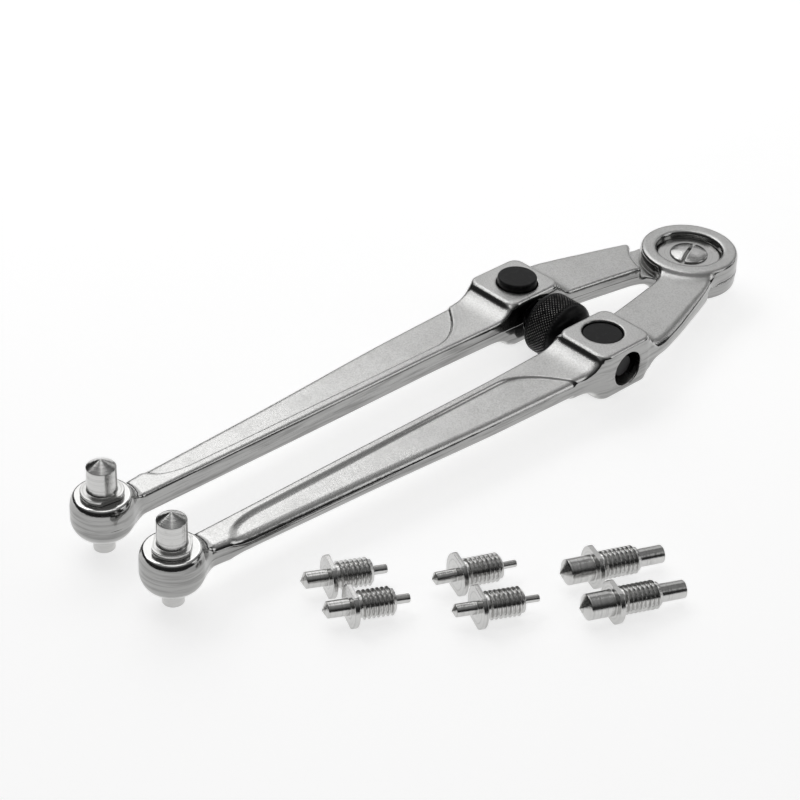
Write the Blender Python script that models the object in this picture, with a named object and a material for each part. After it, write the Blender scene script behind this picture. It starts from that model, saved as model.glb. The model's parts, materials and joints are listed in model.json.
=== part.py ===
"""Adjustable face pin wrench with a set of interchangeable pins.

Two identical steel forgings are hinged together by a half lap at one end.  Each carries a
threaded pin in its head at the other end.  A knurled wheel turns a left- and right-hand
threaded spindle between two barrel nuts, which sets the distance between the pins.

Frame: the pivot axis is the Z axis, the two arms lie in the XY plane with their heads
towards +X.  Pieces are built about the mid plane where the two half laps meet, and the
whole tool is then raised, so that z = 0 is the lower face of the pivot screw.  Metres.
"""

import math

import bpy
import numpy as np
from mathutils import Matrix

MM = 0.001

# ---- driving dimensions ----------------------------------------------------------------
CLEAR = 0.15 * MM                 # running clearance between touching pieces

# plan of one arm, which lies on the +Y side of the tool
TRUNNION_X, TRUNNION_Y = 59.2 * MM, 17.5 * MM
HEAD_X, HEAD_Y = 216.0 * MM, 14.5 * MM

# half-lap joint
RING_R = 15.3 * MM                # outside of the round boss
RING_TOP = 5.15 * MM              # boss height above the mid plane
RING_RECESS_R = 10.3 * MM         # sunk seat for the screw head
RING_FLOOR = 2.0 * MM             # floor of that seat
LAP_CLEAR_R = 18.3 * MM           # shoulder that clears the other arm's boss
PIVOT_BORE_R = 3.65 * MM
SHIM_POCKET_R = 9.5 * MM
SHIM_POCKET_DEPTH = 0.5 * MM

# shank, block and leg
SHANK_HALF = 3.2 * MM             # half thickness between the boss and the block
LEG_HALF = 3.45 * MM              # half thickness of the long leg
BLOCK_HALF = 7.5 * MM             # half height of the block round the barrel nut
BLOCK_X = (48.6 * MM, 70.2 * MM)
BLOCK_Y = (8.6 * MM, 28.5 * MM)
BLOCK_CORNER_R = 3.6 * MM
EDGE_R = 1.5 * MM                 # rounded long edges of the forging
PANEL_DEPTH = 0.75 * MM           # sunk panel in both faces of the leg

# head
HEAD_FACE_R = 7.5 * MM
HEAD_R = 8.65 * MM
HEAD_HALF = 6.45 * MM
HEAD_BORE_R = 4.05 * MM

# barrel nuts, spindle and wheel
BARREL_BORE_R = 6.1 * MM
BARREL_R = 5.85 * MM
BARREL_LOW, BARREL_HIGH = -9.7 * MM, 6.85 * MM   # in the near arm, turned over in the far one
SIDE_BORE_R = 5.2 * MM
SPINDLE_R = 3.85 * MM
SPINDLE_HALF = 27.5 * MM
NUT_BORE_R = 4.0 * MM
WHEEL_R = 10.1 * MM
WHEEL_HALF = 6.9 * MM
GRUB_R = 1.5 * MM                 # screw that locks the wheel on its spindle

# pivot fastening
SCREW_R = 3.5 * MM
SCREW_HEAD_R = 5.9 * MM
WASHER_R, WASHER_T = 9.6 * MM, 0.7 * MM
SLOT_W, SLOT_D = 1.7 * MM, 1.1 * MM
UNDER_HEAD = RING_FLOOR + CLEAR + WASHER_T + 0.1 * MM
SCREW_END = UNDER_HEAD + 1.7 * MM  # below the mid plane; the origin sits on this face

# pins: thread M8 x 1.25 on every pin
THREAD_R = 3.9 * MM
COLLAR_R, COLLAR_FLAT = 5.8 * MM, 4.9 * MM
FLOOR_Z = -11.0 * MM              # the plane that the fitted pins' small ends stand on

SEGMENTS = 40                     # sides of the round pieces
PIN_SEGMENTS = 24


# ---- scene and material helpers --------------------------------------------------------
def clear_scene():
    """Remove every object, so that the script gives the same result each run."""
    for obj in list(bpy.data.objects):
        bpy.data.objects.remove(obj, do_unlink=True)


def steel(name, color, roughness, metallic=1.0):
    """A Principled material for one finish of metal."""
    mat = bpy.data.materials.new(name)
    mat.use_nodes = True
    bsdf = mat.node_tree.nodes["Principled BSDF"]
    bsdf.inputs["Base Color"].default_value = (*color, 1.0)
    bsdf.inputs["Roughness"].default_value = roughness
    bsdf.inputs["Metallic"].default_value = metallic
    mat.diffuse_color = (*color, 1.0)
    return mat


FINISHES = {
    "satin": ((0.74, 0.73, 0.71), 0.32, 1.0),
    "bright": ((0.78, 0.77, 0.75), 0.18, 1.0),
    "black": ((0.035, 0.035, 0.038), 0.42, 0.6),
}


def add_object(name, verts, faces, finish, turned_over=False):
    """Make one mesh object. A turned-over piece is rotated half a turn about the X axis."""
    verts = np.asarray(verts, float)
    if turned_over:
        verts = verts * (1.0, -1.0, -1.0)
    mesh = bpy.data.meshes.new(name)
    mesh.from_pydata([tuple(v) for v in verts], [], [tuple(f) for f in faces])
    mesh.validate()
    mesh.shade_smooth()
    mesh.set_sharp_from_angle(angle=math.radians(32.0))
    obj = bpy.data.objects.new(name, mesh)
    bpy.context.scene.collection.objects.link(obj)
    color, roughness, metallic = FINISHES[finish]
    mesh.materials.append(steel("mat_" + name, color, roughness, metallic))
    return obj


def helper(name, verts, faces, turned_over=False):
    """A hidden operand for a Boolean modifier."""
    obj = add_object(name, verts, faces, "satin", turned_over)
    obj.hide_render = True
    obj.display_type = "WIRE"
    return obj


def combine(obj, operand, operation):
    """Join an operand to an object, or cut it away, with an exact Boolean."""
    mod = obj.modifiers.new(operand.name, "BOOLEAN")
    mod.operation = operation
    mod.solver = "EXACT"
    mod.object = operand
    mod.show_render = mod.show_viewport = True


# ---- surface generators ----------------------------------------------------------------
def skin(loops):
    """Join equal closed loops into one closed body, with one flat face over each end."""
    loops = [np.asarray(loop, float) for loop in loops]
    n = len(loops[0])
    faces = []
    for i in range(len(loops) - 1):
        for j in range(n):
            a, b = i * n + j, i * n + (j + 1) % n
            faces.append((a, b, b + n, a + n))
    top = (len(loops) - 1) * n
    faces.append(tuple(range(n))[::-1])
    faces.append(tuple(range(top, top + n)))
    return np.vstack(loops), faces


def turned(stations, segments=SEGMENTS):
    """A solid of revolution about Z from (z, radius, flat) stations, z rising.

    A flat is the half width across two parallel flats, or None for a full circle.
    """
    phi = np.linspace(0.0, 2.0 * math.pi, segments, endpoint=False)
    loops = []
    for z, radius, flat in stations:
        r = np.full(segments, radius)
        if flat is not None:
            r = np.minimum(r, flat / np.maximum(np.abs(np.cos(phi)), 1e-9))
        loops.append(np.column_stack([r * np.cos(phi), r * np.sin(phi), np.full(segments, z)]))
    return skin(loops)


def ring(profile, segments=SEGMENTS):
    """A ring of revolution about Z from a closed (radius, z) profile, anticlockwise."""
    phi = np.linspace(0.0, 2.0 * math.pi, segments, endpoint=False)
    prof = np.asarray(profile, float)
    n = len(prof)
    verts = [(r * math.cos(a), r * math.sin(a), z) for a in phi for r, z in prof]
    faces = []
    for i in range(segments):
        for j in range(n):
            a, b = i * n + j, i * n + (j + 1) % n
            c, d = ((i + 1) % segments) * n + (j + 1) % n, ((i + 1) % segments) * n + j
            faces.append((a, d, c, b))
    return np.array(verts), faces


def prism(outline, z_low, z_high, low_r=0.0, high_r=0.0, steps=3):
    """An outline raised from z_low to z_high, with its end edges rounded inwards."""
    pts = np.asarray(outline, float)
    ahead, behind = np.roll(pts, -1, 0) - pts, pts - np.roll(pts, 1, 0)
    ahead /= np.linalg.norm(ahead, axis=1)[:, None]
    behind /= np.linalg.norm(behind, axis=1)[:, None]
    inward = np.column_stack([-(ahead + behind)[:, 1], (ahead + behind)[:, 0]])
    inward /= np.maximum(np.linalg.norm(inward, axis=1)[:, None], 1e-12)
    layers = []
    for radius, z, sign in ((low_r, z_low, 1.0), (high_r, z_high, -1.0)):
        angles = np.linspace(0.0, math.pi / 2, steps + 1) if radius else [0.0]
        part = [(radius * (1 - math.sin(t)), z + sign * radius * (1 - math.cos(t)))
                for t in angles]
        layers += part if sign > 0 else part[::-1]
    return skin([np.column_stack([pts + inward * d, np.full(len(pts), z)]) for d, z in layers])


def rounded_box_outline(x_range, y_range, radius, steps=4):
    """An anticlockwise rectangle with round corners."""
    (x0, x1), (y0, y1) = x_range, y_range
    pts = []
    for cx, cy, start in ((x1 - radius, y1 - radius, 0.0), (x0 + radius, y1 - radius, 90.0),
                          (x0 + radius, y0 + radius, 180.0), (x1 - radius, y0 + radius, 270.0)):
        for a in np.radians(np.linspace(start, start + 90.0, steps + 1)):
            pts.append((cx + radius * math.cos(a), cy + radius * math.sin(a)))
    return pts


def rounded_section(y_low, y_high, half, radius, steps=3):
    """A rounded rectangle in the YZ plane, seen from +X, anticlockwise."""
    radius = min(radius, 0.49 * (y_high - y_low), 0.98 * half)
    pts = []
    for cy, cz, start in ((y_high - radius, half - radius, 0.0),
                          (y_low + radius, half - radius, 90.0),
                          (y_low + radius, radius - half, 180.0),
                          (y_high - radius, radius - half, 270.0)):
        for a in np.radians(np.linspace(start, start + 90.0, steps + 1)):
            pts.append((cy + radius * math.cos(a), cz + radius * math.sin(a)))
    return np.array(pts)


def bezier(p0, p1, p2, p3, count=7):
    """Points along a cubic curve, without its first point."""
    t = np.linspace(0.0, 1.0, count + 1)[1:, None]
    p0, p1, p2, p3 = (np.asarray(p, float) for p in (p0, p1, p2, p3))
    curve = ((1 - t) ** 3 * p0 + 3 * (1 - t) ** 2 * t * p1
             + 3 * (1 - t) * t ** 2 * p2 + t ** 3 * p3)
    return [tuple(p) for p in curve]


def about_y(verts):
    """Turn a body made about Z so that its axis lies along Y."""
    return np.column_stack([verts[:, 0], -verts[:, 2], verts[:, 1]])


def shifted(verts, x=0.0, y=0.0, z=0.0):
    """Move a set of points."""
    return np.asarray(verts) + (x, y, z)


# ---- the forged arm --------------------------------------------------------------------
# edges of the shank and leg in plan: (x, y) in millimetres, smooth between the points
INNER_EDGE = ((3.0, -3.0), (13.0, 0.2), (18.6, 3.7), (34.0, 6.4), (47.0, 8.4), (72.0, 8.7),
              (100.0, 9.5), (150.0, 9.7), (200.0, 10.2), (208.0, 10.2), (213.0, 10.2))
OUTER_EDGE = ((3.0, 13.3), (5.0, 14.6), (9.0, 16.8), (18.4, 20.3), (31.0, 24.8), (42.0, 28.0),
              (47.0, 28.3), (68.0, 28.0), (74.0, 26.9), (80.0, 26.4), (110.0, 25.2),
              (153.0, 22.6), (200.0, 20.1), (208.0, 18.8), (213.0, 18.6))


def leg_half_thickness(x):
    """Half thickness of shank, fillets and leg at x, all in metres.

    The shank rises by a small hollow fillet at the back of the block.  In front of the
    block a longer hollow ramp runs down to the leg.
    """
    back, front, ramp = BLOCK_X[0], BLOCK_X[1], 7.5 * MM
    if x <= back:
        t = min(max((x - (back - 2.2 * MM)) / (2.2 * MM), 0.0), 1.0)
        return SHANK_HALF + 2.0 * MM * (1.0 - math.sqrt(1.0 - t * t))
    if x < front - 1.0 * MM:
        return SHANK_HALF + 2.0 * MM
    t = min(max((x - (front - 1.0 * MM)) / ramp, 0.0), 1.0)
    drop = BLOCK_HALF - 1.3 * MM - LEG_HALF
    return LEG_HALF + drop * (1.0 - math.sqrt(1.0 - (1.0 - t) ** 2))


def arm_stations():
    """Places along X for the sections of the arm, closer together at the fillets."""
    spans = ((3.0, 20.0, 8), (20.0, 45.5, 5), (46.4, 48.6, 4), (50.0, 68.0, 3),
             (69.3, 77.0, 8), (80.0, 200.0, 9), (206.0, 212.0, 2))
    return np.unique(np.concatenate([np.linspace(a, b, n) for a, b, n in spans])) * MM


def arm_loft():
    """Shank and leg as one skin of rounded sections."""
    inner, outer = np.array(INNER_EDGE) * MM, np.array(OUTER_EDGE) * MM
    loops = []
    for x in arm_stations():
        low = np.interp(x, inner[:, 0], inner[:, 1])
        high = np.interp(x, outer[:, 0], outer[:, 1])
        section = rounded_section(low, high, leg_half_thickness(x), EDGE_R)
        loops.append(np.column_stack([np.full(len(section), x), section]))
    return skin(loops)


def panel_outline():
    """Plan of the sunk panel: a straight inner rim with a sweep at each end."""
    inner_near, inner_far = (97.0, 12.6), (187.0, 13.2)
    points = [inner_far, inner_near]
    points += bezier(inner_near, (88.5, 12.9), (83.5, 20.0), (78.6, 27.2))
    points += [(77.2, 32.0), (204.0, 32.0), (201.5, 21.0)]
    points += bezier((201.5, 21.0), (198.0, 15.0), (194.5, 13.5), inner_far)[:-1]
    return np.array(points[::-1]) * MM


def head_profile():
    """Stations of the barrel-shaped head, bottom to top."""
    rise = HEAD_HALF - 0.35 * MM
    stations = [(-HEAD_HALF, HEAD_FACE_R - 0.35 * MM, None)]
    for t in np.linspace(-1.0, 1.0, 9):
        radius = HEAD_FACE_R + (HEAD_R - HEAD_FACE_R) * (1.0 - abs(t) ** 2.4)
        stations.append((t * rise, radius, None))
    stations.append((HEAD_HALF, HEAD_FACE_R - 0.35 * MM, None))
    return stations


def build_arm(name, turned_over):
    """One forging: boss, shank, block, leg and head, with its bores and sunk panels."""
    arm = add_object(name, *arm_loft(), "satin", turned_over)

    # raised boss on the upper half of the lap, with a small rounded upper edge
    edge = 1.0 * MM
    boss = [(CLEAR, RING_R - 0.3 * MM, None), (CLEAR + 0.3 * MM, RING_R, None)]
    boss += [(RING_TOP - edge * (1 - math.sin(t)), RING_R - edge * (1 - math.cos(t)), None)
             for t in np.linspace(0.0, math.pi / 2, 4)]
    block = prism(rounded_box_outline(BLOCK_X, BLOCK_Y, BLOCK_CORNER_R),
                  -BLOCK_HALF, BLOCK_HALF, 1.1 * MM, 1.1 * MM)
    head_verts, head_faces = turned(head_profile())

    # the lower half of the lap goes first, so that the boss keeps its full disc
    lap_top = CLEAR + 0.05 * MM
    lap = turned([(-12 * MM, LAP_CLEAR_R, None), (lap_top, LAP_CLEAR_R, None)])
    combine(arm, helper(name + "_lap", *lap, turned_over), "DIFFERENCE")
    combine(arm, helper(name + "_boss", *turned(boss), turned_over), "UNION")
    combine(arm, helper(name + "_block", *block, turned_over), "UNION")
    combine(arm, helper(name + "_head", shifted(head_verts, HEAD_X, HEAD_Y), head_faces,
                        turned_over), "UNION")

    def bore(label, x, y, radius, low, high):
        verts, faces = turned([(low, radius, None), (high, radius, None)])
        combine(arm, helper(name + label, shifted(verts, x, y), faces, turned_over),
                "DIFFERENCE")

    bore("_seat", 0.0, 0.0, RING_RECESS_R, RING_FLOOR, 12 * MM)
    bore("_pivot_bore", 0.0, 0.0, PIVOT_BORE_R, -12 * MM, 12 * MM)
    bore("_shim_pocket", 0.0, 0.0, SHIM_POCKET_R, -12 * MM, SHIM_POCKET_DEPTH)
    bore("_barrel_bore", TRUNNION_X, TRUNNION_Y, BARREL_BORE_R, -12 * MM, 12 * MM)
    bore("_head_bore", HEAD_X, HEAD_Y, HEAD_BORE_R, -12 * MM, 12 * MM)

    side_verts, side_faces = turned([(-34 * MM, SIDE_BORE_R, None), (-4 * MM, SIDE_BORE_R, None)])
    side_verts = shifted(about_y(side_verts), TRUNNION_X)
    combine(arm, helper(name + "_side_bore", side_verts, side_faces, turned_over), "DIFFERENCE")

    floor = LEG_HALF - PANEL_DEPTH
    for label, low, high in (("_panel_upper", floor, 12 * MM), ("_panel_lower", -12 * MM, -floor)):
        panel = prism(panel_outline(), low, high)
        combine(arm, helper(name + label, *panel, turned_over), "DIFFERENCE")
    return arm


# ---- pivot fastening -------------------------------------------------------------------
def washer_profile(r_in, r_out, low, high, chamfer=0.15 * MM):
    """Closed profile of a flat washer with broken outer edges."""
    return [(r_in, low), (r_out - chamfer, low), (r_out, low + chamfer),
            (r_out, high - chamfer), (r_out - chamfer, high), (r_in, high)]


def build_pivot():
    """Screw, nut, two washers and the shim between the laps."""
    seat = RING_FLOOR + CLEAR
    washer = ring(washer_profile(PIVOT_BORE_R, WASHER_R, seat, seat + WASHER_T))
    add_object("pivot_washer_top", *washer, "bright")
    add_object("pivot_washer_bottom", *washer, "bright", turned_over=True)
    shim_half = SHIM_POCKET_DEPTH - CLEAR
    add_object("pivot_shim", *ring(washer_profile(PIVOT_BORE_R + 0.1 * MM,
                                                  SHIM_POCKET_R - 0.3 * MM,
                                                  -shim_half, shim_half)), "bright")

    under_head = UNDER_HEAD
    dome, rim = 1.2 * MM, 0.6 * MM
    stations = [(-SCREW_END, SCREW_R - 0.3 * MM, None),
                (-SCREW_END + 0.3 * MM, SCREW_R, None), (under_head, SCREW_R, None),
                (under_head, SCREW_HEAD_R, None), (under_head + rim, SCREW_HEAD_R, None)]
    stations += [(under_head + rim + dome * math.sin(t), SCREW_HEAD_R * math.cos(t) ** 0.7, None)
                 for t in np.radians((20, 40, 60, 78))]
    screw = add_object("pivot_screw", *turned(stations), "bright")
    slot_z = under_head + rim + dome - SLOT_D
    slot = prism([(-8 * MM, -SLOT_W / 2), (8 * MM, -SLOT_W / 2), (8 * MM, SLOT_W / 2),
                  (-8 * MM, SLOT_W / 2)], slot_z, slot_z + 4 * MM)
    combine(screw, helper("pivot_screw_slot", *slot), "DIFFERENCE")

    nut_high, nut_low = -under_head, -under_head - 2.0 * MM
    nut = add_object("pivot_nut", *ring([(SCREW_R + 0.1 * MM, nut_low),
                                         (SCREW_HEAD_R - 0.4 * MM, nut_low),
                                         (SCREW_HEAD_R, nut_low + 0.4 * MM),
                                         (SCREW_HEAD_R, nut_high),
                                         (SCREW_R + 0.1 * MM, nut_high)]), "bright")
    nut_slot = prism([(-8 * MM, -SLOT_W / 2), (8 * MM, -SLOT_W / 2), (8 * MM, SLOT_W / 2),
                      (-8 * MM, SLOT_W / 2)], nut_low - 2 * MM, nut_low + 0.8 * MM)
    combine(nut, helper("pivot_nut_slot", *nut_slot), "DIFFERENCE")


# ---- barrel nuts, spindle and wheel ----------------------------------------------------
def build_barrel_nut(name, turned_over):
    """A cylinder that turns in the block, with a cross hole for the spindle."""
    chamfer = 0.5 * MM
    verts, faces = turned([(BARREL_LOW, BARREL_R - chamfer, None),
                           (BARREL_LOW + chamfer, BARREL_R, None),
                           (BARREL_HIGH - chamfer, BARREL_R, None),
                           (BARREL_HIGH, BARREL_R - chamfer, None)])
    side = -1.0 if turned_over else 1.0
    nut = add_object(name, verts, faces, "black", turned_over)
    nut.location = (TRUNNION_X, side * TRUNNION_Y, 0.0)
    hole_verts, hole_faces = turned([(-10 * MM, NUT_BORE_R, None), (10 * MM, NUT_BORE_R, None)])
    hole = helper(name + "_hole", about_y(hole_verts), hole_faces)
    hole.location = nut.location
    combine(nut, hole, "DIFFERENCE")
    return nut


def build_spindle_and_wheel():
    """The double-handed spindle along Y and the knurled wheel on its middle."""
    tip = 0.8 * MM
    spindle_verts, spindle_faces = turned([(-SPINDLE_HALF, SPINDLE_R - tip, None),
                                           (-SPINDLE_HALF + tip, SPINDLE_R, None),
                                           (SPINDLE_HALF - tip, SPINDLE_R, None),
                                           (SPINDLE_HALF, SPINDLE_R - tip, None)])
    spindle = add_object("spindle", about_y(spindle_verts), spindle_faces, "black")
    spindle.location = (TRUNNION_X, 0.0, 0.0)

    hub, bore = 5.2 * MM, NUT_BORE_R
    grip = 3.0 * MM
    upper = [(WHEEL_R - (WHEEL_R - hub) * (1 - math.cos(t)),
              grip + (WHEEL_HALF - grip) * math.sin(t)) for t in np.linspace(0, math.pi / 2, 6)]
    profile = [(bore, -WHEEL_HALF)] + [(r, -z) for r, z in upper[::-1]] + upper
    profile += [(bore, WHEEL_HALF)]
    wheel_verts, wheel_faces = ring(profile, 44)
    wheel = add_object("adjusting_wheel", about_y(wheel_verts), wheel_faces, "black")
    wheel.location = (TRUNNION_X, 0.0, 0.0)

    hole = turned([(-WHEEL_R - 2 * MM, GRUB_R + 0.1 * MM, None), (-1 * MM, GRUB_R + 0.1 * MM, None)],
                  20)
    hole = helper("wheel_grub_hole", *hole)
    hole.location = wheel.location
    combine(wheel, hole, "DIFFERENCE")
    grub = add_object("wheel_grub_screw", *turned([(-WHEEL_R + 0.8 * MM, GRUB_R, None),
                                                   (-SPINDLE_R - 0.6 * MM, GRUB_R, None),
                                                   (-SPINDLE_R - 0.2 * MM, 0.6 * GRUB_R, None)],
                                                  20), "black")
    grub.location = wheel.location


# ---- pins ------------------------------------------------------------------------------
def pin_stations(big_r, big_len, collar_t, thread_len, small_r, small_len, cone=None):
    """Stations of one pin. Its collar's lower face is at z = 0 and its big end points up."""
    cone = 0.6 * big_r if cone is None else cone
    thread_r = THREAD_R
    return [(-thread_len - small_len, small_r - 0.25 * MM, None),
            (-thread_len - small_len + 0.25 * MM, small_r, None),
            (-thread_len, small_r, None),
            (-thread_len, thread_r - 0.7 * MM, None),
            (-thread_len + 0.7 * MM, thread_r, None),
            (-1.0 * MM, thread_r, None),
            (-1.0 * MM, thread_r - 0.65 * MM, None),
            (0.0, thread_r - 0.65 * MM, None),
            (0.0, COLLAR_R, COLLAR_FLAT),
            (collar_t, COLLAR_R, COLLAR_FLAT),
            (collar_t, big_r, None),
            (collar_t + big_len, big_r, None),
            (collar_t + big_len + 0.96 * cone, 0.04 * big_r, None)]


COLLAR_T = 1.4 * MM
FITTED_PIN = dict(big_r=4.0 * MM, big_len=7.3 * MM, collar_t=COLLAR_T, thread_len=12.9 * MM,
                  small_r=3.0 * MM, small_len=4.7 * MM)
# three loose pairs: radii and lengths of the two ends
LOOSE_PINS = {
    "a": dict(big_r=2.25 * MM, big_len=5.8 * MM, collar_t=COLLAR_T, thread_len=10.6 * MM,
              small_r=1.25 * MM, small_len=4.4 * MM),
    "b": dict(big_r=1.75 * MM, big_len=5.6 * MM, collar_t=COLLAR_T, thread_len=11.2 * MM,
              small_r=1.0 * MM, small_len=4.8 * MM),
    "c": dict(big_r=3.5 * MM, big_len=7.0 * MM, collar_t=COLLAR_T, thread_len=12.0 * MM,
              small_r=2.5 * MM, small_len=7.6 * MM),
}
# where each loose pin lies: pair, middle x and y, and heading of its big end in degrees
LOOSE_PLACES = {
    "loose_pin_a1": ("a", 179.8, 39.2, -23.9),
    "loose_pin_a2": ("a", 183.4, 51.6, -24.2),
    "loose_pin_b1": ("b", 153.0, 60.0, -20.5),
    "loose_pin_b2": ("b", 158.3, 73.1, -23.9),
    "loose_pin_c1": ("c", 123.4, 81.0, -20.3),
    "loose_pin_c2": ("c", 129.9, 94.2, -21.2),
}
LYING_TILT = 3.0                  # degrees that a lying pin's small end dips


PIN_TURNS = {"pin_near": -45.0, "pin_far": 82.0}   # which way each collar's flats face


def build_pins():
    """The two fitted pins and the six loose ones that lie beside the tool."""
    stations = pin_stations(**FITTED_PIN)
    for name, side in (("pin_near", 1.0), ("pin_far", -1.0)):
        verts, faces = turned(stations, PIN_SEGMENTS)
        turn = math.radians(PIN_TURNS[name])
        verts = verts @ np.array(Matrix.Rotation(turn, 3, "Z")).T
        pin = add_object(name, verts, faces, "bright")
        pin.location = (HEAD_X, side * HEAD_Y, HEAD_HALF + CLEAR)

    for name, (pair, x, y, heading) in LOOSE_PLACES.items():
        size = LOOSE_PINS[pair]
        verts, faces = turned(pin_stations(**size), PIN_SEGMENTS)
        total = size["big_len"] + 0.6 * size["big_r"] + COLLAR_T + size["thread_len"]
        middle = 0.5 * (total + size["small_len"]) - size["thread_len"] - size["small_len"]
        verts = shifted(verts, z=-middle)
        # flats face down and up, the axis lies along the heading, small end a little lower
        rot = (Matrix.Rotation(math.radians(heading), 3, "Z")
               @ Matrix.Rotation(math.radians(90.0 - LYING_TILT), 3, "Y"))
        verts = verts @ np.array(rot).T
        pin = add_object(name, verts, faces, "bright")
        pin.location = (x * MM, y * MM, FLOOR_Z - verts[:, 2].min())


def main():
    """Build every piece of the wrench."""
    clear_scene()
    build_arm("arm_near", turned_over=False)
    build_arm("arm_far", turned_over=True)
    build_pivot()
    build_barrel_nut("trunnion_near", turned_over=False)
    build_barrel_nut("trunnion_far", turned_over=True)
    build_spindle_and_wheel()
    build_pins()
    for obj in bpy.data.objects:      # the frame's origin is on the pivot screw's lower face
        obj.location.z += SCREW_END


main()
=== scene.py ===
"""Visual model of an adjustable face pin wrench with its set of pins.

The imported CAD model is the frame.  Every piece below is worked out in millimetres about the
tool's mid plane, where the two half laps meet, and is then lifted into the frame.  The
forged and slotted pieces are the zero surface of a distance formula; the turned pieces are
radius formulas on a grid of turn angle and length.
"""

import json
import logging
import math
from dataclasses import dataclass, field
from enum import Enum
from typing import Callable, Optional, Sequence, Union

import bpy
import numpy as np
from mathutils import Matrix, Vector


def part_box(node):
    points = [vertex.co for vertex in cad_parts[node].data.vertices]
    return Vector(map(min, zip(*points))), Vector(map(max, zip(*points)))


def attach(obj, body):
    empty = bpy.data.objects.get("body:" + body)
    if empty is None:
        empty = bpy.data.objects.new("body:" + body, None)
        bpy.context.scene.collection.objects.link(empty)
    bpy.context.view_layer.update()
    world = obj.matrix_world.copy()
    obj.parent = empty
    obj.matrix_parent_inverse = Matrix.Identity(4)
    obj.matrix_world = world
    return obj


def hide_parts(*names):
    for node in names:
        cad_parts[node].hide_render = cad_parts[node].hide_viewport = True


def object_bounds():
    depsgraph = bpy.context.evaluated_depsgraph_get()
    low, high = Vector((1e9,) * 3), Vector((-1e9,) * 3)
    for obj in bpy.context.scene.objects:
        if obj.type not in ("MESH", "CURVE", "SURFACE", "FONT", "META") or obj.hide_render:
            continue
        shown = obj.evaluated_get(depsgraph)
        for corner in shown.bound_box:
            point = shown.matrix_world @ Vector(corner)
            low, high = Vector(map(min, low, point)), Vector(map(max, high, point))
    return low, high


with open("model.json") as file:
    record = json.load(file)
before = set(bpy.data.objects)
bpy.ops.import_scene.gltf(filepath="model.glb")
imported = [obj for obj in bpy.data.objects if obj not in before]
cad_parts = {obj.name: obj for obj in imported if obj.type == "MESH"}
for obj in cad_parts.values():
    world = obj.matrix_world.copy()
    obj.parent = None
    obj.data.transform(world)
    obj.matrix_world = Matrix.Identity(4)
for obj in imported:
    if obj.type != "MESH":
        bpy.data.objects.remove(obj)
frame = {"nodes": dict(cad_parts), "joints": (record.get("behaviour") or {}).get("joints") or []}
CAD_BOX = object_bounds()

Array = np.ndarray
Reach = Union[float, np.ndarray]                        # one radius, or one for each point
Field = Callable[[Array, Array, Array], Array]
LOG = logging.getLogger("pin_wrench")

MM = 0.001
JOINTS = {joint["name"]: joint for joint in frame["joints"]}
MID_Z = JOINTS["arm_opening"]["pos_m"][2] / MM          # mid plane above the frame's origin
BARREL_X, BARREL_Y = (v / MM for v in JOINTS["near_barrel_turn"]["pos_m"][:2])
HEAD_X = 0.5 * (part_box("pin_near")[0][0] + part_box("pin_near")[1][0]) / MM
HEAD_Y = 0.5 * (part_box("pin_near")[0][1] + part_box("pin_near")[1][1]) / MM


class Slot(Enum):
    """The record's material slots."""

    FORGING = "satin_forging"
    STEEL = "bright_steel"
    BLACK = "black_oxide"


class Hand(Enum):
    """Which way a thread climbs."""

    RIGHT = 1.0
    LEFT = -1.0


# ---- distance formulas -----------------------------------------------------------------
def join(a: Array, b: Array, r: Reach) -> Array:
    """Union of two solids with a hollow fillet of radius r in the corner between them."""
    ua, ub = np.maximum(r - a, 0.0), np.maximum(r - b, 0.0)
    return np.maximum(r, np.minimum(a, b)) - np.sqrt(ua * ua + ub * ub)


def meet(a: Array, b: Array, r: Reach) -> Array:
    """Intersection of two solids with a round of radius r on the edge where they cross."""
    ua, ub = np.maximum(r + a, 0.0), np.maximum(r + b, 0.0)
    return np.minimum(-r, np.maximum(a, b)) + np.sqrt(ua * ua + ub * ub)


def cut(a: Array, b: Array, r: Reach) -> Array:
    """Solid a without solid b, with a round of radius r on the new edge."""
    return meet(a, -b, r)


def smooth(t: Array) -> Array:
    """Smooth step: 3t^2 - 2t^3 of t held between 0 and 1."""
    t = np.clip(t, 0.0, 1.0)
    return t * t * (3.0 - 2.0 * t)


def upright(x: Array, y: Array, cx: float, cy: float, r: float) -> Array:
    """Distance to an endless upright cylinder."""
    return np.hypot(x - cx, y - cy) - r


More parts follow.
